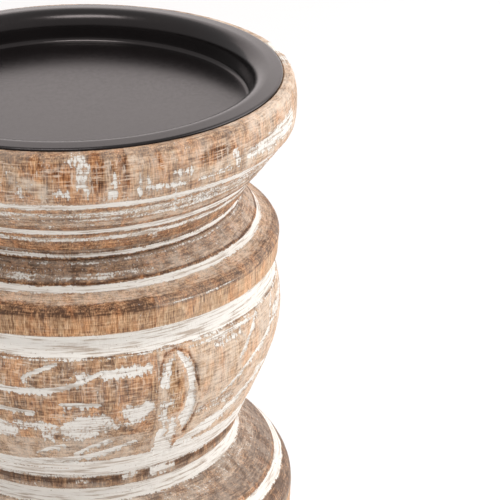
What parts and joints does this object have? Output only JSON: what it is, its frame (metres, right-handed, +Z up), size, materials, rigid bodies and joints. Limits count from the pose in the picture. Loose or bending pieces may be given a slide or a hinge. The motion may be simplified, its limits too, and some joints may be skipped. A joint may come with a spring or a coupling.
{
  "type": "wooden candlestick",
  "caption": "Turned, distressed whitewashed wooden pillar-candle stick with two stacked bulbs on a round foot and a lift-out black metal candle pan.",
  "frame": {"origin": "on the table, at the middle of the round foot", "axes": "+Z up along the turning axis; -Y is the front; +X is to the right seen from the front"},
  "size_m": [0.1494, 0.1494, 0.24],
  "materials": {
    "whitewashed_wood": "matt, whitewashed and worn back",
    "black_pan": "satin black",
    "steel": "zinc plated",
    "felt": "matt wool felt"
  },
  "bodies": {
    "stand": {"cup_block_1": "whitewashed_wood", "cup_block_2": "whitewashed_wood", "cup_block_3": "whitewashed_wood", "cup_block_4": "whitewashed_wood", "upper_bulb_block_1": "whitewashed_wood", "upper_bulb_block_2": "whitewashed_wood", "upper_bulb_block_3": "whitewashed_wood", "upper_bulb_block_4": "whitewashed_wood", "lower_bulb_block_1": "whitewashed_wood", "lower_bulb_block_2": "whitewashed_wood", "lower_bulb_block_3": "whitewashed_wood", "lower_bulb_block_4": "whitewashed_wood", "base_block_1": "whitewashed_wood", "base_block_2": "whitewashed_wood", "base_block_3": "whitewashed_wood", "base_block_4": "whitewashed_wood", "tie_rod": "steel", "upper_washer": "steel", "upper_nut": "steel", "lower_washer": "steel", "lower_nut": "steel", "foot_pad": "felt"},
    "pan": {"candle_pan": "black_pan"}
  },
  "joints": [
    {"name": "pan_lift", "type": "slide", "parent": "stand", "child": "pan", "axis": [0, 0, 1], "range_m": [0, 0.04]}
  ]
}
